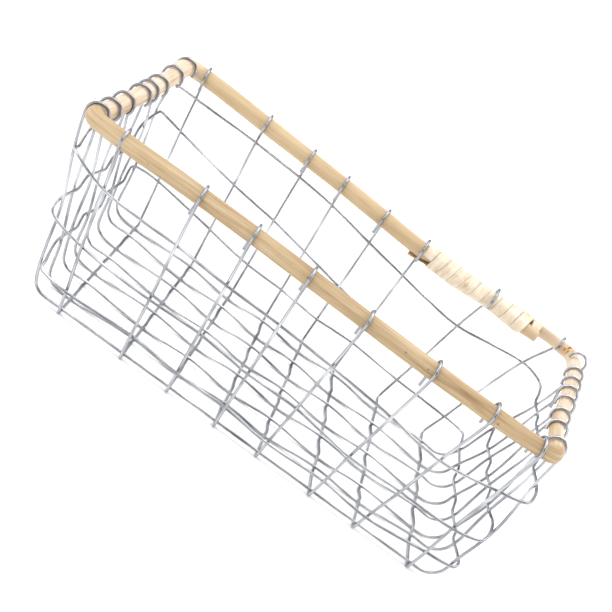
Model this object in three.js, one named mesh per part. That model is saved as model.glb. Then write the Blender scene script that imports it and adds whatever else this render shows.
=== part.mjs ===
// Shopping basket: sixteen bent wires woven into a tray, three ring wires around its walls,
// and a cane rim that every wire end hooks over. Millimetres, +Z up, front is -Y.
import * as THREE from "three";

// ---- driving sizes ----
const WIRE = 2.4;             // wire thickness
const GAP = 0.6;              // air between two wires where they cross
const CROSS = WIRE + GAP;     // centre distance at a crossing
const CANE_THICK_R = 7.3;     // cane radius at its thick end, on the back rail
const CANE_FRONT_R = 6.8;     // on the front rail
const CANE_THIN_R = 5.8;      // and at its thin, right-hand end
const HOOK_GAP = 0.55;        // air between the cane and a wire end around it
const RIM_CORNER_R = 8.4;     // bend radius of the cane centre line
const BEND_LEFT = 12;         // bend radius of the long wires at the left foot
const BEND_RIGHT = 17;        // and at the right foot
const BEND_CROSS = 4.5;       // bend radius of the cross wires at both feet
const FLOOR_CROSS = 1.4;      // how far a cross wire weaves up and down in the floor
const FLOOR_LONG = CROSS - FLOOR_CROSS;
const WALL_RING = 1.6;       // how far a ring weaves in and out of the walls
const WALL_WIRE = CROSS - WALL_RING;
const CORNER_CUT = 1.8;       // how far a ring stays inside the sharp corner of two walls
const RING_LAP = 0.4;         // where a ring's ends stop, as a share of the way between two cross wires
const WOBBLE = 0.3;           // sideways waver of a cross wire in the floor

// ---- rim centre line: x, y, z along the long rails, left to right, and the end rails, front to back ----
const FRONT_RAIL = [[-197.5, -125, 141.5], [-60, -125.5, 141.2], [60, -126, 138.8], [120, -126, 138], [200, -125, 138.6]];
const BACK_RAIL = [[-203.5, 125, 142], [-110, 124, 139.2], [-30, 122, 136.4], [40, 119.5, 132.6], [90, 118.5, 131.4],
  [135, 120, 132], [207, 123.5, 133.8]];
const LEFT_RAIL = [FRONT_RAIL[0], [-196.3, -90, 141.6], [-197, -25, 141.7], [-198.2, 20, 141.8], [-200.7, 68, 141.9],
  BACK_RAIL[0]];
const RIGHT_RAIL = [FRONT_RAIL.at(-1), [199, -75, 137.7], [201, -42, 137], [204.2, -8, 136.3], [206.2, 20, 135.8],
  [208.4, 46, 135.3], [210, 74, 134.7], [209.6, 103, 134.2], BACK_RAIL.at(-1)];

// ---- cross wires, left to right: x at the front rim, front foot, back foot and back rim ----
const CROSS_FRONT_TOP = [-169, -102, -57, -9, 41, 99, 149, 190];
const CROSS_FRONT_FOOT = [-145, -89, -47, -4, 34, 82, 122, 171];
const CROSS_BACK_FOOT = [-165, -106, -63, -26, 13, 50, 96, 146];
const CROSS_BACK_TOP = [-189, -123, -74, -37, 9, 50, 122, 188];
const FRONT_TIP = [15, 19, 16, 15, 16, 18, 14, 12.5];     // wire end below the cane centre
const BACK_TIP = [10, 9, 11.5, 13.5, 13, 9, 4.5, 2.5];
const FRONT_LEAN = [-2, -3, -2.5, -2, -2.5, -3, -3.5, -7]; // sideways step of the wire end
const BACK_LEAN = [4.5, 2, 0.3, 1, -2, 0.5, 0, -3];
const BACK_SHIFT = [0, 1.5, 0.5, 0, 0, 0.5, 1.5, 6.5];     // how far the hook sits along the cane from its wire
const WIDE_BACK_HOOK = { 5: 10.2, 6: 11.6, 7: 8.2 };          // radius of the back hooks that stand off the cane
const FRONT_FOOT_Y = -116;
const BACK_FOOT_Y = 114;

// ---- long wires, front to back: y at the left rim, left foot, right foot and right rim ----
const LONG_LEFT_TOP = [-115, -91, -61.5, -24, -3, 21.5, 68, 111];
const LONG_LEFT_FOOT = [-111.8, -84, -49, -20, 15, 46, 79, 105];
const LONG_RIGHT_FOOT = [-111.8, -73, -57, -28, -3, 28, 52, 88];
const LONG_RIGHT_TOP = [-105, -71, -42, -9, 19, 45, 73, 103];
const LEFT_FOOT_X = [-170.5, -171, -174, -177, -180, -183, -187, -189];
const RIGHT_FOOT_X = [193, 190, 187, 184, 180, 177, 173, 170];
const SIDE_CURL = [30, 34, 40, 36, 42, 35, 38, 22];        // degrees a side hook curls in under the cane
const SIDE_LEAN = [1.5, -1, -1, 1, -1, 1, -1, -1];
const LONG_TIP = { 4: 17 };                                // right-hand wire end that hangs free, below the cane centre
const LOOSE_X = 0.5;          // how far the last right-hand hook stands off the cane
const LOOSE_Z = 3;
const LOOSE_R = 0.5;
const LEFT_BOW = -1;          // outward belly of the end walls at half height
const RIGHT_BOW = 4;

// ---- ring wires: height at each wire they cross, along the front, back, left and right walls ----
const RINGS = [
  {
    name: "ring_wire_upper",
    phase: 1,
    front: [105, 102, 101, 99, 98, 92, 88, 94],
    back: [120, 119, 118, 114, 108, 101, 94, 101],
    cornerLift: 7,
    left: [114, 121, 122, 122, 122, 122, 121, 120],
    right: [105, 103, 101, 97, 95, 93, 90, 89],
  },
  {
    name: "ring_wire_middle",
    phase: -1,
    front: [56, 55, 55, 53, 52, 47, 47, 49],
    back: [88, 79, 73, 68, 60, 55, 50, 46],
    left: [72, 76, 77, 76, 77, 82, 90, 97],
    right: [61, 53, 51, 49, 47, 46, 45, 45],
  },
  {
    name: "ring_wire_lower",
    weave: 2,
    phase: 1,
    front: [19, 20, 18.5, 17, 15.5, 15.5, 14, 18],
    back: [42, 33, 29, 27, 26, 26, 24, 21],
    left: [25, 32, 35, 34, 34, 36, 39, 41],
    right: [23, 19, 17, 16, 15, 15, 16, 18],
  },
];

// ---- lap joint of the cane, on the back rail ----
const LAP_START = 42;         // x of the right-hand cane's cut end
const LAP_END = 172;          // x of the left-hand cane's cut end
const LAP_TURN = 108;         // degrees the joint turns along the lap
const LAP_START_HALF = 10.6;  // how far the right-hand cane's cut end reaches below the rail's centre line
const LAP_HALF = 7.75;        // half height of the two shaved canes together
const LAP_END_HALF = 12;      // and of the left-hand cane's side at its cut end
const LAP_WIDE = 6.4;         // half width of each
const STRIP_START = 56.5;     // x of the first turn of the binding
const STRIP_TURNS = 10;
const STRIP_PITCH = 10.45;
const STRIP_WIDTH = 9.5;
const STRIP_THICK = 0.8;
const STRIP_AIR = 0.5;        // air between the binding and the canes inside it

const HOOK_STEPS = 9;         // straight pieces in the half turn over the cane

const X = new THREE.Vector3(1, 0, 0);
const Y = new THREE.Vector3(0, 1, 0);
const Z = new THREE.Vector3(0, 0, 1);

const lerp = (a, b, t) => a + (b - a) * t;
const clamp01 = (t) => Math.min(1, Math.max(0, t));
const smooth = (t) => clamp01(t) * clamp01(t) * (3 - 2 * clamp01(t));
const vec = (x, y, z) => new THREE.Vector3(x, y, z);

// point of a rail where its coordinate number "axis" is "at"
function along(table, at, axis) {
  let k = 0;
  while (k < table.length - 2 && at > table[k + 1][axis]) k += 1;
  const t = clamp01((at - table[k][axis]) / (table[k + 1][axis] - table[k][axis]));
  return vec(...[0, 1, 2].map((c) => lerp(table[k][c], table[k + 1][c], t)));
}
const frontRail = (x) => along(FRONT_RAIL, x, 0);
const backRail = (x) => along(BACK_RAIL, x, 0);
const sideRail = (side, y) => along(side < 0 ? LEFT_RAIL : RIGHT_RAIL, y, 1);

// cane radius at a place on the rim: it tapers from the back left round the front to the back right
function caneRadius(p) {
  if (p.y > 115) return p.x > 100 ? CANE_THIN_R : CANE_THICK_R;
  const end = p.x < 0 ? lerp(CANE_FRONT_R, CANE_THICK_R, clamp01((p.y + 125) / 250)) : CANE_THIN_R;
  const front = p.x < 150 ? CANE_FRONT_R : lerp(CANE_FRONT_R, CANE_THIN_R + 0.4, clamp01((p.x - 150) / 50));
  return p.y < -120 ? front : end;
}
const hookRadius = (p) => caneRadius(p) + WIRE / 2 + HOOK_GAP;

// closed tube of rings; (b, n, t) right-handed, so the skin faces out
function loft(sections, sides, closed) {
  const position = [];
  const index = [];
  for (const s of sections) {
    for (let k = 0; k < sides; k += 1) {
      const p = s.outline(k / sides);
      position.push(p.x, p.y, p.z);
    }
  }
  const count = sections.length;
  const spans = closed ? count : count - 1;
  for (let i = 0; i < spans; i += 1) {
    const a = i * sides;
    const c = ((i + 1) % count) * sides;
    for (let k = 0; k < sides; k += 1) {
      const m = (k + 1) % sides;
      index.push(a + k, a + m, c + k, a + m, c + m, c + k);
    }
  }
  if (!closed) {
    const last = (count - 1) * sides;
    for (let k = 1; k < sides - 1; k += 1) {
      index.push(0, k + 1, k, last, last + k, last + k + 1);
    }
  }
  const geometry = new THREE.BufferGeometry();
  geometry.setAttribute("position", new THREE.Float32BufferAttribute(position, 3));
  geometry.setIndex(index);
  geometry.computeVertexNormals();
  return geometry;
}

function tangents(points, closed) {
  const n = points.length;
  return points.map((p, i) => {
    const before = closed ? points[(i + n - 1) % n] : points[Math.max(0, i - 1)];
    const after = closed ? points[(i + 1) % n] : points[Math.min(n - 1, i + 1)];
    const d1 = p.clone().sub(before).normalize();
    const d2 = after.clone().sub(p).normalize();
    return d1.add(d2).normalize();
  });
}

// six-sided wire, flats across the plane it is bent in
function wire(points, side, closed = false) {
  const reach = WIRE / 2 / Math.cos(Math.PI / 6);
  const dirs = tangents(points, closed);
  const sections = points.map((p, i) => {
    const b = side.clone().addScaledVector(dirs[i], -side.dot(dirs[i])).normalize();
    const n = dirs[i].clone().cross(b);
    return {
      outline: (f) => p.clone().addScaledVector(b, reach * Math.cos(2 * Math.PI * f))
        .addScaledVector(n, reach * Math.sin(2 * Math.PI * f)),
    };
  });
  return loft(sections, 6, closed);
}

// replaces corner k of a path with an arc
function fillet(before, corner, after, radius, steps) {
  const u = before.clone().sub(corner).normalize();
  const v = after.clone().sub(corner).normalize();
  const half = Math.acos(THREE.MathUtils.clamp(u.dot(v), -1, 1)) / 2;
  const cut = radius / Math.tan(half);
  const middle = corner.clone().addScaledVector(u.clone().add(v).normalize(), radius / Math.sin(half));
  const from = corner.clone().addScaledVector(u, cut).sub(middle);
  const to = corner.clone().addScaledVector(v, cut).sub(middle);
  const sweep = from.angleTo(to);
  const out = [];
  for (let s = 0; s <= steps; s += 1) {
    const a = s / steps;
    const w1 = Math.sin((1 - a) * sweep) / Math.sin(sweep);
    const w2 = Math.sin(a * sweep) / Math.sin(sweep);
    out.push(middle.clone().addScaledVector(from, w1).addScaledVector(to, w2));
  }
  return out;
}

// ---- walls: where the wire centres lie, by wall, wire and height ----
const footHeight = (j) => (j === 0 ? FLOOR_LONG : 0);
const backHookRadius = (i) => WIDE_BACK_HOOK[i] ?? hookRadius(backRail(CROSS_BACK_TOP[i]));
function crossWall(i, back, z) {
  const top = back ? backRail(CROSS_BACK_TOP[i]) : frontRail(CROSS_FRONT_TOP[i]);
  const reach = back ? backHookRadius(i) : -hookRadius(top);
  const foot = back ? vec(CROSS_BACK_FOOT[i], BACK_FOOT_Y, -FLOOR_CROSS) : vec(CROSS_FRONT_FOOT[i], FRONT_FOOT_Y, -FLOOR_CROSS);
  const t = (top.z - z) / (top.z - foot.z);
  return vec(lerp(top.x, foot.x, t), lerp(top.y + reach, foot.y, t), z);
}
const isLoose = (j, right) => right && j === 7;
function longWall(j, right, z) {
  const side = right ? 1 : -1;
  const top = sideRail(side, right ? LONG_RIGHT_TOP[j] : LONG_LEFT_TOP[j]);
  const foot = right ? vec(RIGHT_FOOT_X[j], LONG_RIGHT_FOOT[j], footHeight(j)) : vec(LEFT_FOOT_X[j], LONG_LEFT_FOOT[j], footHeight(j));
  const t = (top.z - z) / (top.z - foot.z);
  const bow = side * (right ? RIGHT_BOW : LEFT_BOW) * 4 * t * (1 - t);
  const reach = hookRadius(top) + (isLoose(j, right) ? LOOSE_X + LOOSE_R : 0);
  return vec(lerp(top.x + side * reach, foot.x, t) + bow, lerp(top.y, foot.y, t), z);
}

// ---- hook over the rim: from the free end inside, over the cane, to the outside ----
function hookArc(centre, out, radius, curl, lean, along2) {
  const start = THREE.MathUtils.degToRad(-curl);
  const points = [];
  const steps = HOOK_STEPS + Math.round(curl / 20);
  for (let s = 0; s <= steps; s += 1) {
    const a = lerp(start, Math.PI, s / steps);
    points.push(centre.clone().addScaledVector(out, -radius * Math.cos(a)).addScaledVector(Z, radius * Math.sin(a))
      .addScaledVector(along2, lean * (1 - s / steps)));
  }
  return points;
}
function hook(centre, out, radius, tip, lean, along2) {
  const arc = hookArc(centre, out, radius, 0, lean * 0.8, along2);
  const end = arc[0].clone().addScaledVector(out, 0.2).addScaledVector(Z, -tip).addScaledVector(along2, lean * 0.2);
  return [end, ...arc];
}

const ringHeight = (ring, i, back) => (back ? ring.back[i] : ring.front[i]);
const sideHeight = (ring, j, right) => (right ? ring.right[j] : ring.left[j]);
// +1 where the ring passes outside the wire
const ringOutCross = (ring, i, back) => (back ? (i % 2 === 1 ? 1 : -1) : (i % 2 === 0 ? 1 : -1)) * ring.phase;
const ringOutLong = (ring, j, right) => (right ? (j % 2 === 0 ? 1 : -1) : (j % 2 === 1 ? 1 : -1)) * ring.phase;

function crossWallPoints(i, back) {
  const out = back ? Y : Y.clone().negate();
  return RINGS.map((ring) => crossWall(i, back, ringHeight(ring, i, back))
    .addScaledVector(out, -WALL_WIRE * ringOutCross(ring, i, back)));
}
function longWallPoints(j, right) {
  const out = right ? X : X.clone().negate();
  return RINGS.map((ring) => longWall(j, right, sideHeight(ring, j, right))
    .addScaledVector(out, -WALL_WIRE * ringOutLong(ring, j, right)));
}

// ---- floor weave: wire i of the cross set passes under wire j of the long set ----
const under = (i, j) => j === 0 || (i + j) % 2 === 0;
const floorX = (i, y) => lerp(CROSS_FRONT_FOOT[i], CROSS_BACK_FOOT[i], (y - FRONT_FOOT_Y) / (BACK_FOOT_Y - FRONT_FOOT_Y));
const floorY = (j, x) => lerp(LONG_LEFT_FOOT[j], LONG_RIGHT_FOOT[j], (x - LEFT_FOOT_X[j]) / (RIGHT_FOOT_X[j] - LEFT_FOOT_X[j]));
function meeting(i, j) {
  let y = LONG_LEFT_FOOT[j];
  for (let k = 0; k < 6; k += 1) y = floorY(j, floorX(i, y));
  return vec(floorX(i, y), y, 0);
}

function crossWirePath(i) {
  const frontTop = frontRail(CROSS_FRONT_TOP[i]);
  const front = hook(frontTop, Y.clone().negate(), hookRadius(frontTop), FRONT_TIP[i], FRONT_LEAN[i], X);
  const backTop = backRail(CROSS_BACK_TOP[i] + BACK_SHIFT[i]);
  const back = hook(backTop, Y, backHookRadius(i), BACK_TIP[i], BACK_LEAN[i], X);
  const down = crossWallPoints(i, false);
  const up = crossWallPoints(i, true);
  const frontFoot = vec(CROSS_FRONT_FOOT[i], FRONT_FOOT_Y, -FLOOR_CROSS);
  const backFoot = vec(CROSS_BACK_FOOT[i], BACK_FOOT_Y, under(i, 7) ? -FLOOR_CROSS : 0);
  const floor = [];
  for (let j = 1; j < 8; j += 1) {
    const at = meeting(i, j);
    const low = under(i, j);
    for (const step of [-1.7, 1.7]) {
      floor.push(vec(at.x + (low ? -WOBBLE : WOBBLE), at.y + step, low ? -FLOOR_CROSS : FLOOR_CROSS));
    }
  }
  const inFloor = vec(floorX(i, -105), -105, -FLOOR_CROSS);
  return [...front, ...down, ...fillet(down[2], frontFoot, inFloor, BEND_CROSS, 4), inFloor.clone(), ...floor,
    ...fillet(floor.at(-1), backFoot, up[2], BEND_CROSS, 4), ...up.reverse(), ...back.reverse()];
}

function rightHook(j, top) {
  if (j in LONG_TIP) {
    const points = hook(top, X, hookRadius(top), LONG_TIP[j], SIDE_LEAN[j], Y);
    points[0].addScaledVector(X, 3);
    return points;
  }
  if (isLoose(j, true)) {
    return hookArc(top.clone().add(vec(LOOSE_X, 0, LOOSE_Z)), X, hookRadius(top) + LOOSE_R, 0, SIDE_LEAN[j], Y);
  }
  return hookArc(top, X, hookRadius(top), SIDE_CURL[j], SIDE_LEAN[j], Y);
}

function longWirePath(j) {
  const leftTop = sideRail(-1, LONG_LEFT_TOP[j]);
  const rightTop = sideRail(1, LONG_RIGHT_TOP[j]);
  const left = hookArc(leftTop, X.clone().negate(), hookRadius(leftTop), SIDE_CURL[j], SIDE_LEAN[j], Y);
  const right = rightHook(j, rightTop);
  const down = longWallPoints(j, false);
  const up = longWallPoints(j, true);
  const leftFoot = vec(LEFT_FOOT_X[j], LONG_LEFT_FOOT[j], footHeight(j));
  const rightFoot = vec(RIGHT_FOOT_X[j], LONG_RIGHT_FOOT[j], footHeight(j));
  const floor = [];
  for (let i = 0; i < 8; i += 1) {
    const at = meeting(i, j);
    floor.push(vec(at.x, at.y, under(i, j) ? FLOOR_LONG : -FLOOR_LONG));
  }
  return [...left, ...down, ...fillet(down[2], leftFoot, floor[0], BEND_LEFT, 4), ...floor,
    ...fillet(floor.at(-1), rightFoot, up[2], BEND_RIGHT, 5), ...up.reverse(), ...right.reverse()];
}

// ---- ring wires ----
function ringStations(ring) {
  const stations = [];
  const weave = ring.weave ?? WALL_RING;
  const put = (p, out, sign) => stations.push(p.addScaledVector(out, weave * sign));
  // the ring turns just short of the sharp corner of the two walls
  const corner = (i, j, back, right) => {
    const long = longWall(j, right, sideHeight(ring, j, right));
    const cross = crossWall(i, back, ringHeight(ring, i, back));
    const outX = (right ? 1 : -1) * (weave * ringOutLong(ring, j, right) - CORNER_CUT);
    const outY = (back ? 1 : -1) * (weave * ringOutCross(ring, i, back) - CORNER_CUT);
    const lift = right || back ? 0 : ring.cornerLift ?? 0;
    stations.push(vec(long.x + outX, cross.y + outY, (long.z + cross.z) / 2 + lift));
  };
  put(crossWall(0, true, ring.back[0]), Y, ringOutCross(ring, 0, true));
  corner(0, 7, true, false);
  for (let j = 7; j >= 0; j -= 1) put(longWall(j, false, sideHeight(ring, j, false)), X.clone().negate(), ringOutLong(ring, j, false));
  corner(0, 0, false, false);
  for (let i = 0; i < 8; i += 1) put(crossWall(i, false, ring.front[i]), Y.clone().negate(), ringOutCross(ring, i, false));
  corner(7, 0, false, true);
  for (let j = 0; j < 8; j += 1) put(longWall(j, true, sideHeight(ring, j, true)), X, ringOutLong(ring, j, true));
  corner(7, 7, true, true);
  for (let i = 7; i >= 1; i -= 1) put(crossWall(i, true, ring.back[i]), Y, ringOutCross(ring, i, true));
  // the two ends lie side by side between the first two cross wires of the back wall
  const end = (t, up) => stations.at(-1).clone().lerp(stations[0], t).addScaledVector(Z, up * CROSS / 2);
  const last = end(1 - RING_LAP, 1);
  stations.unshift(end(RING_LAP, -1));
  stations.push(last);
  return stations;
}
function ringPath(ring) {
  const stations = ringStations(ring);
  const curve = new THREE.CatmullRomCurve3(stations, false, "centripetal");
  return curve.getPoints((stations.length - 1) * 2);
}

// ---- cane rim ----
// span of each cane across the lap, measured along the turning joint direction
const leftLow = (x) => lerp(-CANE_THICK_R, 0.2, smooth((x - 46) / 44));
const rightHigh = (x) => lerp(-0.2, CANE_THIN_R, smooth((x - 150) / 42));
const lapTurn = (x) => THREE.MathUtils.degToRad(LAP_TURN) * smooth((x - 50) / 110);
const leftHigh = (x) => lerp(lerp(CANE_THICK_R, LAP_HALF, smooth((x - 60) / 30)), LAP_END_HALF, smooth((x - 120) / 52));
const rightLow = (x) => -lerp(lerp(LAP_START_HALF, LAP_HALF, smooth((x - 42) / 22)), CANE_THIN_R, smooth((x - 150) / 42));
const leftWide = (x) => lerp(CANE_THICK_R, LAP_WIDE, smooth((x - 46) / 16));
const leftSpan = (x) => [x < 120 ? leftLow(x) : Math.max(leftLow(x), rightHigh(x) + 0.4), leftHigh(x)];
const rightSpan = (x) => [rightLow(x), Math.min(rightHigh(x), leftLow(x) - 0.4)];

function caneSection(centre, tangent, turn, low, high, wide) {
  const inward = tangent.clone().cross(Z).normalize();
  const up = inward.clone().cross(tangent).normalize();
  const n = up.clone().multiplyScalar(Math.cos(turn)).addScaledVector(inward, Math.sin(turn));
  const b = n.clone().cross(tangent);
  const middle = centre.clone().addScaledVector(n, (low + high) / 2);
  return {
    outline: (f) => middle.clone().addScaledVector(n, (high - low) / 2 * Math.sin(2 * Math.PI * f))
      .addScaledVector(b, wide * Math.cos(2 * Math.PI * f)),
  };
}

function rimCornerPath() {
  const right = BACK_RAIL.at(-1);
  const corners = [vec(...right), vec(...FRONT_RAIL.at(-1)), vec(...FRONT_RAIL[0]), vec(...BACK_RAIL[0])];
  const path = [];
  path.push(...fillet(backRail(180), corners[0], corners[1], RIM_CORNER_R, 5));
  for (const y of [100, 74, 46, 20, -8, -42, -75, -95]) path.push(sideRail(1, y));
  path.push(...fillet(corners[0], corners[1], frontRail(150), RIM_CORNER_R, 5));
  for (const x of [120, 60, 0, -60, -120]) path.push(frontRail(x));
  path.push(...fillet(frontRail(-150), corners[2], corners[3], RIM_CORNER_R, 5));
  for (const y of [-90, -25, 20, 68]) path.push(sideRail(-1, y));
  path.push(...fillet(corners[2], corners[3], backRail(-150), RIM_CORNER_R, 5));
  for (const x of [-110, -70, -30, 5]) path.push(backRail(x));
  return path;
}

function caneGeometry() {
  const sections = [];
  const tangentAt = (x) => backRail(x + 4).sub(backRail(x - 4)).normalize();
  for (const x of [42, 47, 52, 57, 63, 69, 75, 90, 105, 120, 135, 150, 158, 166, 174, 184]) {
    const [low, high] = rightSpan(x);
    const wide = lerp(lerp(4.2, LAP_WIDE, smooth((x - 52) / 34)), CANE_THIN_R, smooth((x - 150) / 42));
    sections.push(caneSection(backRail(x), tangentAt(x), lapTurn(x), low, high, wide));
  }
  const path = rimCornerPath();
  const dirs = tangents(path, false);
  const lengths = [0];
  for (let k = 1; k < path.length; k += 1) lengths.push(lengths[k - 1] + path[k].distanceTo(path[k - 1]));
  path.forEach((p, k) => {
    const t = lengths[k] / lengths.at(-1);
    const turn = lerp(lapTurn(190), 0, smooth(t * 1.02));
    const r = caneRadius(p);
    sections.push(caneSection(p, dirs[k], turn, -r, r, r));
  });
  for (const x of [30, 46, 50, 54, 60, 66, 75, 90, 105, 120, 135, 150, 158, 166, 172]) {
    const [low, high] = leftSpan(x);
    const wide = leftWide(x) * lerp(1, 0.8, smooth((x - 150) / 22));
    sections.push(caneSection(backRail(x), tangentAt(x), lapTurn(x), low, high, wide));
  }
  return loft(sections, 10, false);
}

// ---- split-cane binding, one strip wound around the lap ----
function lapOutline(x, angle, grow) {
  const c = Math.cos(angle);
  const s = Math.sin(angle);
  const low = rightSpan(x)[0];
  const high = leftHigh(x);
  const tall = (high - low) / 2 + STRIP_AIR + grow;
  const wide = leftWide(x) + 2 * STRIP_AIR + grow;
  const k = (Math.abs(c / tall) ** 3 + Math.abs(s / wide) ** 3) ** (-1 / 3);
  const turn = lapTurn(x);
  const n = Z.clone().multiplyScalar(Math.cos(turn)).addScaledVector(Y, -Math.sin(turn));
  const b = n.clone().cross(X);
  return backRail(x).addScaledVector(n, (high + low) / 2 + k * c).addScaledVector(b, k * s);
}
function stripGeometry() {
  const perTurn = 14;
  const sections = [];
  const corners = [[-0.5, 0], [-0.5, 1], [0.5, 1], [0.5, 0]];
  for (let k = 0; k <= STRIP_TURNS * perTurn; k += 1) {
    const angle = 2 * Math.PI * k / perTurn - Math.PI / 2;
    const x = STRIP_START + STRIP_PITCH * k / perTurn;
    sections.push({
      outline: (f) => {
        const [across, out] = corners[Math.round(f * 4)];
        return lapOutline(x + across * STRIP_WIDTH, angle - lapTurn(x + across * STRIP_WIDTH) + lapTurn(x), out * STRIP_THICK);
      },
    });
  }
  return loft(sections, 4, false);
}

// ---- assembly ----
const wireLook = () => new THREE.MeshStandardMaterial({ name: "galvanised_wire", color: 0xa9adb0, metalness: 1, roughness: 0.35 });
const caneLook = () => new THREE.MeshStandardMaterial({ name: "cane", color: 0xd9b98c, metalness: 0, roughness: 0.6 });
const stripLook = () => new THREE.MeshStandardMaterial({ name: "split_cane", color: 0xe9d9bf, metalness: 0, roughness: 0.6 });

const basket = new THREE.Group();
basket.name = "shopping_basket";
function add(name, geometry, material) {
  const mesh = new THREE.Mesh(geometry, material);
  mesh.name = name;
  basket.add(mesh);
}
add("rim_cane", caneGeometry(), caneLook());
add("rim_binding_strip", stripGeometry(), stripLook());
for (let i = 0; i < 8; i += 1) add(`cross_wire_${i + 1}`, wire(crossWirePath(i), X), wireLook());
for (let j = 0; j < 8; j += 1) add(`long_wire_${j + 1}`, wire(longWirePath(j), Y), wireLook());
for (const ring of RINGS) add(ring.name, wire(ringPath(ring), Z), wireLook());

// origin at the centre of the footprint, lowest wire at z = 0
const box = new THREE.Box3().setFromObject(basket, true);
basket.position.set(-(box.min.x + box.max.x) / 2, -(box.min.y + box.max.y) / 2, -box.min.z);

const group = new THREE.Group();
group.name = "part";
group.add(basket);
group.updateMatrixWorld(true);

export default group;
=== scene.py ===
"""Shopping basket of woven galvanised wire with a bound cane rim: fine surfaces, materials and studio.

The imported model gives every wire, the cane and its binding as plain lofts. Each is read back as the
outlines it was lofted through, and rebuilt on them as a smooth, detailed surface. Metres throughout.
"""
import math

import bmesh
import bpy
import numpy as np
from mathutils import Matrix, Vector


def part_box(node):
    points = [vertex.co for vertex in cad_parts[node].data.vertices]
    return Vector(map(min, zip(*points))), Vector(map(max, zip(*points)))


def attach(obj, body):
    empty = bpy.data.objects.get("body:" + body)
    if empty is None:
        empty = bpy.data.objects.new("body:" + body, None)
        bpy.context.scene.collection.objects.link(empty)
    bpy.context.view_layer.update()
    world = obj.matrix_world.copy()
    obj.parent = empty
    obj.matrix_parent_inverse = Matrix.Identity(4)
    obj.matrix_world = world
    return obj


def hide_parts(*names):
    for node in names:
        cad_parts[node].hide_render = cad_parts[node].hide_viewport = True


MM = 0.001

# ---- camera: where it stands, how it is turned, and its angle of view ----
CAMERA_AT = Vector((3.12, -1034.27, 470.24)) * MM
CAMERA_YAW = math.radians(-0.43)
CAMERA_PITCH = math.radians(20.83)
CAMERA_ROLL = math.radians(35.83)
CAMERA_LENS = 82.35           # millimetres, as the sensor's width is
CAMERA_SENSOR = 36

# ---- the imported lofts: corners in an outline, and a point that a wire's first end is nearest to ----
WIRE_CORNERS = 6
CANE_CORNERS = 10
STRIP_CORNERS = 4
WIRE_FROM = (-1, -1, 0.1)
FINE_STEPS = 24               # points worked out for each packed one before they are evened out

# ---- wire ----
WIRE_R = 1.24 * MM
WIRE_SIDES = 14
WIRE_STEP = 1.8 * MM
WIRE_CUT = 0.25 * MM          # depth of the rounding at a cut end
WIRE_CUT_R = 0.72 * WIRE_R
RING_LAP = 2                  # outlines left out at each end of a ring wire, where the ends lie side by side
RING_LEAD = 8                 # outlines repeated at each end, so that the curve closes smoothly

# ---- cane ----
CANE_SIDES = 48
CANE_STEP = 1.6 * MM
CANE_CUT = 0.4 * MM
CANE_CUT_SIZE = 0.90
CANE_SIZE = 0.985             # makes room for the swelling at its knots
CANE_GIRTH = 44 * MM
KNOT_EVERY = 262 * MM
KNOT_FIRST = 96 * MM
BENT_CORNER = (0.1985, 0.1190, 0.1405)   # where the cane cracked in bending

# ---- binding ----
STRIP_STEP = 1.1 * MM
STRIP_ACROSS = 15
STRIP_SPREAD = 0.018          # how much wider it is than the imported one, at each edge
STRIP_CROWN = 0.97            # its height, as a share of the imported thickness
STRIP_GIRTH = 22 * MM
TAB_AT = (0.1640, 0.1222, 0.1356)
TAB_R = 5.9 * MM
TAB_THICK = 0.8 * MM
TAB_WIDE = 8.5 * MM
TAB_FROM, TAB_TO = -38, 122   # degrees, from the front and over the top
TAB_SECTIONS = 12
TAB_POINTS = 26
TAB_GIRTH = 40 * MM

# ---- brightness of the studio around the basket, by direction ----
SIDE_LIGHT = 1.5
BACK_LIGHT = 0.9
TOP_LIGHT = 4.0
DARK_SIDE = 0.04

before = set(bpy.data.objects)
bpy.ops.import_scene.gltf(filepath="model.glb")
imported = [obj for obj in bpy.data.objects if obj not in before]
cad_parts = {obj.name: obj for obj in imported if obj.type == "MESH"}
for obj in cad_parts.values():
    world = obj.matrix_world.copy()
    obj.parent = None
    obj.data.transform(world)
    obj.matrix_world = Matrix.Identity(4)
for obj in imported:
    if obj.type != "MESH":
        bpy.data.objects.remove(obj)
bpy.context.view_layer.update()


# ---------------------------------------------------------------- reading the lofts
def loft_outlines(node, sides, start):
    """The node's outlines in order from the end nearest start, as an array [outline, corner, xyz].

    Inside the loft every corner meets six edges, so the corners that don't are those of its two ends.
    """
    mesh = bmesh.new()
    mesh.from_mesh(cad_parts[node].data)
    bmesh.ops.remove_doubles(mesh, verts=mesh.verts[:], dist=1e-6)
    ends = [v for v in mesh.verts if len(v.link_edges) != 6]
    first = min(ends, key=lambda v: (v.co - Vector(start)).length)
    ring = {first}
    while len(ring) < sides:
        ring |= {e.other_vert(v) for v in ring for e in v.link_edges if e.other_vert(v) in ends}
    beyond = {e.other_vert(v) for v in ring for e in v.link_edges} - ring
    centre = sum((v.co for v in ring), Vector()) / sides
    travel = sum((v.co for v in beyond), Vector()) / len(beyond) - centre
    across = (first.co - centre).normalized()
    other = travel.cross(across)
    ring = sorted(ring, key=lambda v: math.atan2((v.co - centre).dot(other), (v.co - centre).dot(across)))
    seen = set(ring)
    outlines = [[v.co.copy() for v in ring]]
    while len(seen) < len(mesh.verts):
        near = [{e.other_vert(v) for e in v.link_edges} - seen for v in ring]
        ring = [(near[k] & near[(k + 1) % sides]).pop() for k in range(sides)]
        seen.update(ring)
        outlines.append([v.co.copy() for v in ring])
    mesh.free()
    return np.array(outlines)


def distances(points, power=1.0):
    """The sum of the steps up to each point, each step raised to a power."""
    steps = np.linalg.norm(np.diff(points, axis=0), axis=1) ** power
    return np.concatenate([[0.0], np.cumsum(steps)])


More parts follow.
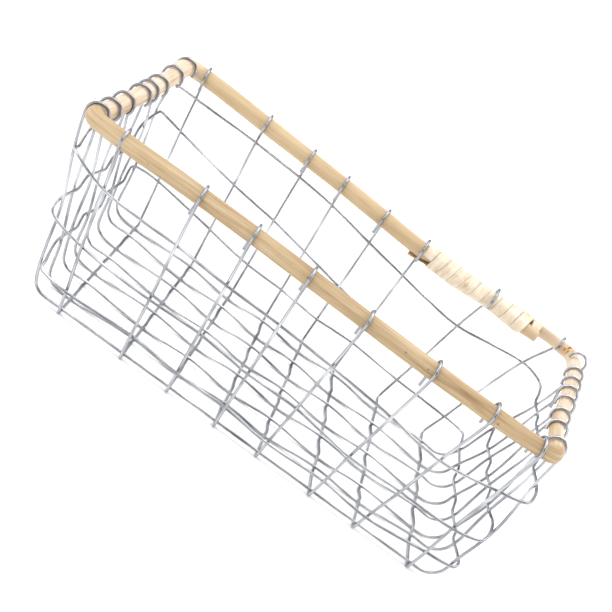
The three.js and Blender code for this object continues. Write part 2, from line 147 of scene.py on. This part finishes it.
def through(knots, values, at):
    """A smooth curve through values at knots, read at the places in at."""
    flat = values.reshape(len(values), -1)
    step = np.diff(knots)
    chord = np.diff(flat, axis=0) / step[:, None]
    slope = np.empty_like(flat)
    slope[0], slope[-1] = chord[0], chord[-1]
    w = (step[:-1] / (step[:-1] + step[1:]))[:, None]
    slope[1:-1] = chord[:-1] * (1 - w) + chord[1:] * w
    k = np.clip(np.searchsorted(knots, at, side="right") - 1, 0, len(step) - 1)
    h = step[k][:, None]
    t = ((at - knots[k]) / step[k])[:, None]
    out = ((1 + 2 * t) * (1 - t) ** 2 * flat[k] + t * (1 - t) ** 2 * h * slope[k]
           + t * t * (3 - 2 * t) * flat[k + 1] + t * t * (t - 1) * h * slope[k + 1])
    return out.reshape((len(at),) + values.shape[1:])


def resample(points, step, lead=0):
    """A smooth curve through points at even steps, and the distance along it of each of its points.

    The first and last points, as many as lead says, only steer the curve and aren't on it.
    """
    knots = distances(points, 0.5)
    on_it = len(points) - 2 * lead
    first, last = knots[lead], knots[len(points) - 1 - lead]
    fine = through(knots, points, np.linspace(first, last, on_it * FINE_STEPS))
    length = distances(fine)
    at = np.linspace(0, length[-1], int(length[-1] / step))
    return np.stack([np.interp(at, length, fine[:, c]) for c in range(3)], axis=1), at


# ---------------------------------------------------------------- building surfaces
def hoop_skin(name, rings, along, around):
    """A tube that runs back into itself. Its UVs are metres along and metres around."""
    count, sides = rings.shape[:2]
    i, k = (part.ravel() for part in np.divmod(np.arange(count * sides), sides))
    corners = [(i, k), (i, k + 1), (i + 1, k + 1), (i + 1, k)]
    faces = np.stack([(a % count) * sides + b % sides for a, b in corners], axis=1)
    mesh = bpy.data.meshes.new(name)
    mesh.from_pydata(rings.reshape(-1, 3).tolist(), [], faces.tolist())
    coords = np.stack([np.stack([along[a], b / sides * around], axis=1) for a, b in corners], axis=1)
    mesh.uv_layers.new(name="UVMap").data.foreach_set("uv", coords.ravel())
    mesh.polygons.foreach_set("use_smooth", np.ones(len(mesh.polygons), bool))
    return link(name, mesh)


def link(name, mesh):
    """A mesh as an object in the scene."""
    mesh.validate()
    piece = bpy.data.objects.new(name, mesh)
    bpy.context.scene.collection.objects.link(piece)
    return piece


def skin(name, rings, along, around):
    """A tube through rings [ring, corner, xyz] with flat ends. Its UVs are metres along and metres around."""
    count, sides = rings.shape[:2]
    faces = []
    for here in range(0, (count - 1) * sides, sides):
        after = here + sides
        for k in range(sides):
            turned = (k + 1) % sides
            faces.append((here + k, here + turned, after + turned, after + k))
    faces.append(tuple(range(sides - 1, -1, -1)))
    faces.append(tuple(range((count - 1) * sides, count * sides)))
    mesh = bpy.data.meshes.new(name)
    mesh.from_pydata(rings.reshape(-1, 3).tolist(), [], faces)
    uv = mesh.uv_layers.new(name="UVMap")
    coords = np.zeros((len(mesh.loops), 2))
    i, k = np.divmod(np.arange((count - 1) * sides), sides)
    for corner, (di, dk) in enumerate(((0, 0), (0, 1), (1, 1), (1, 0))):
        coords[corner:4 * len(i):4, 0] = along[i + di]
        coords[corner:4 * len(i):4, 1] = (k + dk) / sides * around
    caps = coords[4 * len(i):]
    turn = full_turn(sides)
    for cap, centre in ((caps[:sides], along[0]), (caps[sides:], along[-1])):
        cap[:] = np.stack([centre + 2 * MM * np.cos(turn), 2 * MM * np.sin(turn)], axis=1)
    uv.data.foreach_set("uv", coords.ravel())
    smooth = np.ones(len(mesh.polygons), bool)
    smooth[-2:] = False
    mesh.polygons.foreach_set("use_smooth", smooth)
    return link(name, mesh)


def side_vectors(path):
    """Two directions across a path at each of its points, carried along it without twist."""
    tangent = np.gradient(path, axis=0)
    tangent /= np.linalg.norm(tangent, axis=1)[:, None]
    u = np.empty_like(path)
    u[0] = np.cross(tangent[0], (0.3, 0.5, 0.8))
    u[0] /= np.linalg.norm(u[0])
    for i in range(1, len(path)):
        u[i] = u[i - 1] - tangent[i] * tangent[i].dot(u[i - 1])
        u[i] /= np.linalg.norm(u[i])
    return u, np.cross(tangent, u)


def full_turn(sides):
    """The angle of each corner of an outline."""
    return np.arange(sides) / sides * 2 * math.pi


def circles(path, radius, turn):
    """A round outline about each point of a path."""
    u, v = side_vectors(path)
    spokes = np.cos(turn)[..., None] * u[:, None] + np.sin(turn)[..., None] * v[:, None]
    return path[:, None] + radius * spokes


def cut_ends(path, along, depth):
    """Adds the short steps at both ends of a path that a cut edge is rounded over."""
    first = path[0] + (path[1] - path[0]) / np.linalg.norm(path[1] - path[0]) * depth
    last = path[-1] + (path[-2] - path[-1]) / np.linalg.norm(path[-2] - path[-1]) * depth
    path = np.concatenate([path[:1], [first], path[1:-1], [last], path[-1:]])
    along = np.concatenate([along[:1], [along[0] + depth], along[1:-1], [along[-1] - depth], along[-1:]])
    return path, along


def build_wire(node, material):
    """A cross or long wire with its two cut ends."""
    centres = loft_outlines(node, WIRE_CORNERS, WIRE_FROM).mean(axis=1)
    path, along = cut_ends(*resample(centres, WIRE_STEP), WIRE_CUT)
    radius = np.full((len(path), 1, 1), WIRE_R)
    radius[[0, -1]] = WIRE_CUT_R
    rings = circles(path, radius, full_turn(WIRE_SIDES)[None])
    piece = skin(f"{node}_round", rings, along, 2 * math.pi * WIRE_R)
    return finish_piece(piece, node, material)


def build_ring(node, material):
    """A ring wire with its two ends drawn together into one run, because its joint doesn't show."""
    centres = loft_outlines(node, WIRE_CORNERS, WIRE_FROM).mean(axis=1)[RING_LAP:-RING_LAP]
    wrapped = np.concatenate([centres[-RING_LEAD:], centres, centres[:RING_LEAD + 1]])
    path, along = resample(wrapped, WIRE_STEP, RING_LEAD)
    u, v = side_vectors(path)
    slip = math.atan2(u[-1].dot(v[0]), u[-1].dot(u[0]))
    turn = full_turn(WIRE_SIDES) - slip * (along / along[-1])[:, None]
    rings = circles(path, WIRE_R, turn)
    piece = hoop_skin(f"{node}_round", rings[:-1], along, 2 * math.pi * WIRE_R)
    return finish_piece(piece, node, material)


def finish_piece(piece, node, material):
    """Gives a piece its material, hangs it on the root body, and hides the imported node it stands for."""
    piece.data.materials.append(material)
    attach(piece, "root")
    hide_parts(node)
    return piece


def bump(x, centre, width):
    """A smooth rise to 1 at centre."""
    return np.exp(-((x - centre) / width) ** 2)


def build_cane(material):
    """The rim, with a low swelling and a groove at each of its knots, and a slightly uneven outline."""
    outlines = loft_outlines("rim_cane", CANE_CORNERS, tuple(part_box("rim_binding_strip")[0]))
    turn = full_turn(CANE_CORNERS)
    centre = outlines.mean(axis=1)
    wide = np.einsum("ikc,k->ic", outlines, np.cos(turn)) * 2 / CANE_CORNERS
    tall = np.einsum("ikc,k->ic", outlines, np.sin(turn)) * 2 / CANE_CORNERS
    knots = distances(centre)
    along = np.linspace(0, knots[-1], int(knots[-1] / CANE_STEP))
    along = np.concatenate([[0, CANE_CUT], along[1:-1], [along[-1] - CANE_CUT, along[-1]]])
    centre, wide, tall = (through(knots, part, along) for part in (centre, wide, tall))
    turn = full_turn(CANE_SIDES)[None]
    place = along[:, None]
    swell = np.ones((len(along), CANE_SIDES))
    for knot in np.arange(KNOT_FIRST, knots[-1], KNOT_EVERY):
        tilt = knot + 0.8 * MM * np.sin(turn + knot * 40)
        swell += 0.030 * bump(place, tilt - 2.4 * MM, 4.2 * MM)
        swell -= 0.034 * bump(place, tilt + 0.9 * MM, 0.9 * MM)
    swell += 0.010 * np.sin(place * 61 + 0.7) + 0.007 * np.sin(place * 137 + 2.1)
    swell += 0.006 * np.sin(3 * turn + 9 * place) + 0.004 * np.sin(7 * turn - 21 * place)
    swell *= CANE_SIZE
    swell[[0, -1]] *= CANE_CUT_SIZE
    spokes = np.cos(turn)[..., None] * wide[:, None] + np.sin(turn)[..., None] * tall[:, None]
    rings = centre[:, None] + swell[..., None] * spokes
    return finish_piece(skin("rim_cane_grained", rings, along, CANE_GIRTH), "rim_cane", material)


def facing_out(outlines):
    """The strip's outlines, turned so that their first two corners are the edges of its outer face."""
    edge = np.linalg.norm(np.roll(outlines, -1, axis=1) - outlines, axis=2).mean(axis=0)
    outlines = np.roll(outlines, -int(np.argmax(edge)), axis=1)
    one_turn = np.ones(15) / 15
    axis = np.stack([np.convolve(run, one_turn, "same") for run in outlines.mean(axis=1).T], axis=1)
    middle = slice(20, len(outlines) - 20)
    reach = [np.linalg.norm(outlines[middle, k] - axis[middle], axis=1).mean() for k in (0, 2)]
    return np.roll(outlines, -2, axis=1) if reach[0] < reach[1] else outlines


def spread(a, b):
    """Two edges of a face moved apart a little."""
    return a + STRIP_SPREAD * (a - b), b + STRIP_SPREAD * (b - a)


def build_strip(material):
    """The split cane wound around the lap, crowned across its width and ribbed by its fibres."""
    outlines = loft_outlines("rim_binding_strip", STRIP_CORNERS, tuple(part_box("rim_binding_strip")[0]))
    outlines = facing_out(outlines)
    knots = distances(outlines.mean(axis=1))
    along = np.linspace(0, knots[-1], int(knots[-1] / STRIP_STEP))
    outer_a, outer_b, inner_b, inner_a = (through(knots, outlines[:, k], along) for k in range(STRIP_CORNERS))
    outer_a, outer_b = spread(outer_a, outer_b)
    inner_a, inner_b = spread(inner_a, inner_b)
    across = np.linspace(0, 1, STRIP_ACROSS)
    crown = 1 - 0.5 * np.abs(2 * across - 1) ** 9
    fibre = 0.07 * np.sin(across * 40)[None] * (1 + 0.4 * np.sin(along * 300)[:, None])
    share = across[None, :, None]
    outer = outer_a[:, None] * (1 - share) + outer_b[:, None] * share
    inner = inner_a[:, None] * (1 - share) + inner_b[:, None] * share
    top = inner + (outer - inner) * (crown[None] + fibre)[..., None] * STRIP_CROWN
    rings = np.concatenate([top, inner[:, ::-1]], axis=1)
    piece = skin("rim_binding_split_cane", rings, along, STRIP_GIRTH)
    return finish_piece(piece, "rim_binding_strip", material)


def build_tab(material):
    """The folded end of the binding, tucked over the thin cane beside its last turn."""
    turns = np.radians(np.linspace(TAB_FROM, TAB_TO, TAB_POINTS))
    around = np.concatenate([turns, turns[::-1]])
    rings = []
    for i, x in enumerate(np.linspace(-TAB_WIDE / 2, TAB_WIDE / 2, TAB_SECTIONS)):
        ruffle = 0.25 * MM * math.sin(i * 1.7)
        inner = TAB_R + ruffle + 0.12 * MM * np.sin(turns * 9 + i)
        thick = TAB_THICK * (1 - 0.35 * abs(2 * i / (TAB_SECTIONS - 1) - 1) ** 4)
        reach = np.concatenate([inner + thick, inner[::-1]])
        ring = [np.full(len(reach), x), -reach * np.cos(around), reach * np.sin(around)]
        rings.append(np.stack(ring, axis=1))
    along = np.linspace(0, TAB_WIDE, TAB_SECTIONS)
    piece = skin("rim_binding_tab", np.array(rings) + TAB_AT, along, TAB_GIRTH)
    return finish_piece(piece, "rim_binding_strip", material)


# ---------------------------------------------------------------- materials
class Look:
    """A node material with short ways to add nodes."""

    def __init__(self, name):
        self.material = bpy.data.materials.new(name)
        self.material.use_nodes = True
        self.tree = self.material.node_tree
        self.shader = self.tree.nodes["Principled BSDF"]

    def node(self, kind, inputs=None, **settings):
        """A new node with its settings, and its inputs by name: numbers or other nodes' outputs."""
        made = self.tree.nodes.new(kind)
        for key, value in settings.items():
            setattr(made, key, value)
        for key, value in (inputs or {}).items():
            self.give(made.inputs[key], value)
        return made

    def give(self, socket, value):
        if isinstance(value, bpy.types.NodeSocket):
            self.tree.links.new(value, socket)
        else:
            socket.default_value = value

    def stretched(self, along, around):
        """The piece's own coordinates, metres along and around, scaled."""
        uv = self.node("ShaderNodeUVMap", uv_map="UVMap").outputs["UV"]
        return self.node("ShaderNodeMapping", {"Vector": uv, "Scale": (along, around, 1)}).outputs["Vector"]

    def noise(self, vector, scale=1.0, detail=3.0, rough=0.55, distortion=0.0):
        return self.node("ShaderNodeTexNoise", {"Vector": vector, "Scale": scale, "Detail": detail,
                                                "Roughness": rough, "Distortion": distortion}).outputs["Fac"]

    def ramp(self, fac, stops):
        """Colours by place: each stop is (place, (red, green, blue))."""
        made = self.node("ShaderNodeValToRGB", {"Fac": fac})
        band = made.color_ramp.elements
        while len(band) < len(stops):
            band.new(0.5)
        for element, (place, colour) in zip(band, stops):
            element.position = place
            element.color = (*colour, 1)
        return made.outputs["Color"]

    def grey(self, fac, low, high, to_low=0.0, to_high=1.0):
        """From to_low where fac is low to to_high where it is high."""
        return self.node("ShaderNodeMapRange", {"Value": fac, "From Min": low, "From Max": high,
                                                "To Min": to_low, "To Max": to_high}).outputs["Result"]

    def mix(self, fac, a, b, blend="MIX"):
        made = self.node("ShaderNodeMix", data_type="RGBA", blend_type=blend)
        self.give(made.inputs[0], fac)
        for socket, value in ((made.inputs[6], a), (made.inputs[7], b)):
            self.give(socket, value if isinstance(value, bpy.types.NodeSocket) else (*value, 1))
        return made.outputs[2]

    def math(self, operation, a, b=0.0):
        made = self.node("ShaderNodeMath", operation=operation)
        self.give(made.inputs[0], a)
        self.give(made.inputs[1], b)
        return made.outputs[0]

    def bumps(self, height, distance, strength=1.0):
        made = self.node("ShaderNodeBump", {"Height": height, "Distance": distance, "Strength": strength})
        self.give(self.shader.inputs["Normal"], made.outputs["Normal"])

    def set(self, **values):
        names = {"colour": "Base Color", "roughness": "Roughness", "metal": "Metallic",
                 "gloss": "Specular IOR Level", "edge_tint": "Specular Tint"}
        for key, value in values.items():
            if isinstance(value, tuple):
                value = (*value, 1)
            self.give(self.shader.inputs[names[key]], value)


def galvanised_look():
    """Dull zinc: streaked along the wire, with darker and lighter patches."""
    look = Look("galvanised_wire")
    streak = look.noise(look.stretched(60, 900), detail=4)
    patch = look.noise(look.stretched(18, 60), detail=2)
    tone = look.math("ADD", look.math("MULTIPLY", streak, 0.45), look.math("MULTIPLY", patch, 0.55))
    zinc = [(0.36, (0.17, 0.175, 0.195)), (0.50, (0.38, 0.39, 0.41)), (0.64, (0.66, 0.67, 0.70))]
    look.set(metal=0.9, colour=look.ramp(tone, zinc), roughness=look.grey(tone, 0.3, 0.7, 0.30, 0.17),
             edge_tint=(0.45, 0.46, 0.50))
    look.bumps(look.noise(look.stretched(220, 1500), detail=3), 0.05 * MM, 0.5)
    return look.material


def dots(look, vector, density, size, keep):
    """Small dark dots scattered over a surface: 1 in a dot."""
    cells = look.node("ShaderNodeTexVoronoi", {"Vector": vector, "Scale": density, "Randomness": 1.0})
    draw = look.node("ShaderNodeSeparateColor", {"Color": cells.outputs["Color"]}).outputs[0]
    chosen = look.math("GREATER_THAN", draw, keep)
    return look.math("MULTIPLY", look.grey(cells.outputs["Distance"], size, size * 0.55), chosen)


def near(look, spot, centre, far, full):
    """1 within full of a point, down to 0 at far."""
    away = look.node("ShaderNodeVectorMath", operation="DISTANCE")
    look.give(away.inputs[0], spot)
    look.give(away.inputs[1], centre)
    return look.grey(away.outputs["Value"], far, full)


def cane_look():
    """Cane with a fine grain along it and brown flecks, cracked at one corner; its end rails and back rail
    are painted paler, as painted light where light falls on them.
    """
    look = Look("cane")
    spot = look.node("ShaderNodeTexCoord").outputs["Object"]
    place = look.node("ShaderNodeSeparateXYZ", {"Vector": spot}).outputs
    grain = look.noise(look.stretched(14, 1900), detail=4, rough=0.6)
    streak = look.noise(look.stretched(22, 420), detail=3)
    broad = look.noise(look.stretched(9, 70), detail=3)
    slow = look.math("ADD", look.math("MULTIPLY", streak, 0.35), look.math("MULTIPLY", broad, 0.35))
    tone = look.math("ADD", look.math("MULTIPLY", grain, 0.30), slow)

    tan = [(0.36, (0.23, 0.135, 0.065)), (0.45, (0.37, 0.255, 0.138)), (0.54, (0.46, 0.34, 0.20)),
           (0.64, (0.56, 0.44, 0.29))]
    # painted light: a paler, lit copy of the cane's colours
    pale = [(0.36, (0.42, 0.27, 0.17)), (0.47, (0.64, 0.50, 0.38)), (0.60, (0.74, 0.63, 0.53))]
    # The end rails and the right end of the back rail get the paler copy: painted light where light falls on
    # them, not the cane's own colour.
    off_front = look.grey(place["Y"], -0.117, -0.109)
    at_ends = look.grey(look.math("ABSOLUTE", place["X"]), 0.190, 0.197)
    lit_end_rails = look.math("MULTIPLY", at_ends, off_front)
    # Mask of the back rail, which is painted lighter as painted light.
    lit_back_rail = look.grey(place["Y"], 0.09, 0.115)
    lit_back_corner = look.math("MULTIPLY", lit_back_rail, look.grey(place["X"], 0.150, 0.176))
    painted_light_share = look.math("MULTIPLY", look.math("MAXIMUM", lit_end_rails, lit_back_corner), 0.85)
    colour = look.mix(painted_light_share, look.ramp(tone, tan), look.ramp(tone, pale))
    # painted light: the whole back rail is mixed towards a lighter tan, standing in for the light that falls
    # on it.
    colour = look.mix(look.math("MULTIPLY", lit_back_rail, 0.45), colour, (0.66, 0.49, 0.29))

    fleck = look.grey(look.noise(look.stretched(130, 620), detail=2), 0.735, 0.775)
    speck = look.math("MAXIMUM", dots(look, look.stretched(1, 1), 95, 0.11, 0.66), fleck)
    colour = look.mix(look.math("MULTIPLY", speck, 0.75), colour, (0.16, 0.075, 0.03))

    scorched = near(look, spot, BENT_CORNER, 11 * MM, 3 * MM)
    colour = look.mix(look.math("MULTIPLY", scorched, 0.6), colour, (0.62, 0.33, 0.12))
    lines = look.grey(look.noise(look.stretched(420, 60), detail=1), 0.50, 0.56)
    crack = look.math("MULTIPLY", near(look, spot, BENT_CORNER, 6 * MM, 3 * MM), lines)
    look.set(colour=look.mix(crack, colour, (0.10, 0.035, 0.012)), roughness=0.55, gloss=0.3)
    look.bumps(look.math("SUBTRACT", tone, look.math("MULTIPLY", speck, 0.4)), 0.25 * MM, 0.7)
    return look.material


def split_cane_look():
    """The pale face of split cane, with scattered brown flecks."""
    look = Look("split_cane")
    grain = look.noise(look.stretched(12, 1300), detail=4)
    broad = look.noise(look.stretched(90, 160), detail=4)
    tone = look.math("ADD", look.math("MULTIPLY", grain, 0.45), look.math("MULTIPLY", broad, 0.55))
    cream = [(0.34, (0.46, 0.31, 0.18)), (0.43, (0.68, 0.54, 0.38)), (0.52, (0.74, 0.63, 0.49)),
             (0.64, (0.82, 0.75, 0.64))]
    fleck = look.grey(look.noise(look.stretched(260, 420), detail=3), 0.66, 0.71)
    speck = look.math("MAXIMUM", dots(look, look.stretched(1, 1), 150, 0.13, 0.72), fleck)
    colour = look.mix(look.math("MULTIPLY", speck, 0.6), look.ramp(tone, cream), (0.25, 0.12, 0.05))
    look.set(colour=colour, roughness=0.5, gloss=0.4)
    look.bumps(tone, 0.25 * MM, 0.8)
    return look.material


# ---------------------------------------------------------------- studio
def floor():
    """A wide white floor under the basket."""
    bpy.ops.mesh.primitive_plane_add(size=60, location=(0, 0, 0))
    plane = bpy.context.object
    plane.name = "studio_floor"
    look = Look("studio_floor")
    look.set(colour=(0.97, 0.97, 0.97), roughness=0.8, gloss=0.1)
    plane.data.materials.append(look.material)


def softbox(name, at, size, power, aim=(0, 0, 0.05)):
    """A rectangular lamp, size wide and high, that points at aim."""
    light = bpy.data.lights.new(name, "AREA")
    light.shape = "RECTANGLE"
    light.size, light.size_y = size
    light.energy = power
    lamp = bpy.data.objects.new(name, light)
    lamp.location = at
    lamp.rotation_euler = (Vector(aim) - Vector(at)).to_track_quat("-Z", "Y").to_euler()
    bpy.context.scene.collection.objects.link(lamp)


def surround():
    """A studio seen by reflection: bright to both sides, behind and right above, dark beside the camera."""
    world = bpy.data.worlds.new("studio")
    bpy.context.scene.world = world
    world.use_nodes = True
    nodes, links = world.node_tree.nodes, world.node_tree.links

    def combine(operation, a, b=0.0):
        made = nodes.new("ShaderNodeMath")
        made.operation = operation
        for socket, value in zip(made.inputs, (a, b)):
            if isinstance(value, float):
                socket.default_value = value
            else:
                links.new(value, socket)
        return made.outputs[0]

    def rise(value, low, high, top):
        made = nodes.new("ShaderNodeMapRange")
        made.interpolation_type = "SMOOTHSTEP"
        links.new(value, made.inputs["Value"])
        for key, number in (("From Min", low), ("From Max", high), ("To Min", 0.0), ("To Max", top)):
            made.inputs[key].default_value = number
        return made.outputs[0]

    def white():
        made = nodes.new("ShaderNodeBackground")
        made.inputs["Color"].default_value = (1, 1, 1, 1)
        return made

    split = nodes.new("ShaderNodeSeparateXYZ")
    links.new(nodes.new("ShaderNodeTexCoord").outputs["Generated"], split.inputs["Vector"])
    x, y, z = split.outputs
    sides = rise(combine("ABSOLUTE", x), 0.45, 0.75, SIDE_LIGHT)
    level = combine("ADD", sides, rise(y, 0.25, 0.7, BACK_LIGHT))
    level = combine("ADD", combine("ADD", level, rise(z, 0.80, 0.95, TOP_LIGHT)), DARK_SIDE)
    sky, plain = white(), white()
    links.new(level, sky.inputs["Strength"])
    mix = nodes.new("ShaderNodeMixShader")
    links.new(nodes.new("ShaderNodeLightPath").outputs["Is Camera Ray"], mix.inputs["Fac"])
    links.new(sky.outputs["Background"], mix.inputs[1])
    links.new(plain.outputs["Background"], mix.inputs[2])
    links.new(mix.outputs["Shader"], nodes["World Output"].inputs["Surface"])


def camera():
    """The camera, turned to its heading, down to its pitch, and rolled about its own axis."""
    data = bpy.data.cameras.new("camera")
    data.lens = CAMERA_LENS
    data.sensor_width = CAMERA_SENSOR
    made = bpy.data.objects.new("camera", data)
    turn = (Matrix.Rotation(-CAMERA_YAW, 4, "Z") @ Matrix.Rotation(math.pi / 2 - CAMERA_PITCH, 4, "X")
            @ Matrix.Rotation(CAMERA_ROLL, 4, "Z"))
    made.matrix_world = Matrix.Translation(CAMERA_AT) @ turn
    bpy.context.scene.collection.objects.link(made)
    bpy.context.scene.camera = made


camera()
wire_look = galvanised_look()
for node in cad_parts:
    if "ring_wire" in node:
        build_ring(node, wire_look)
    elif "wire" in node:
        build_wire(node, wire_look)
build_cane(cane_look())
strip_look = split_cane_look()
build_strip(strip_look)
build_tab(strip_look)
floor()
surround()
softbox("key", (-0.9, -1.5, 1.5), (1.0, 1.0), 14)
softbox("side", (1.9, -0.4, 0.9), (0.5, 1.2), 5)
bpy.context.scene.view_settings.view_transform = "Standard"
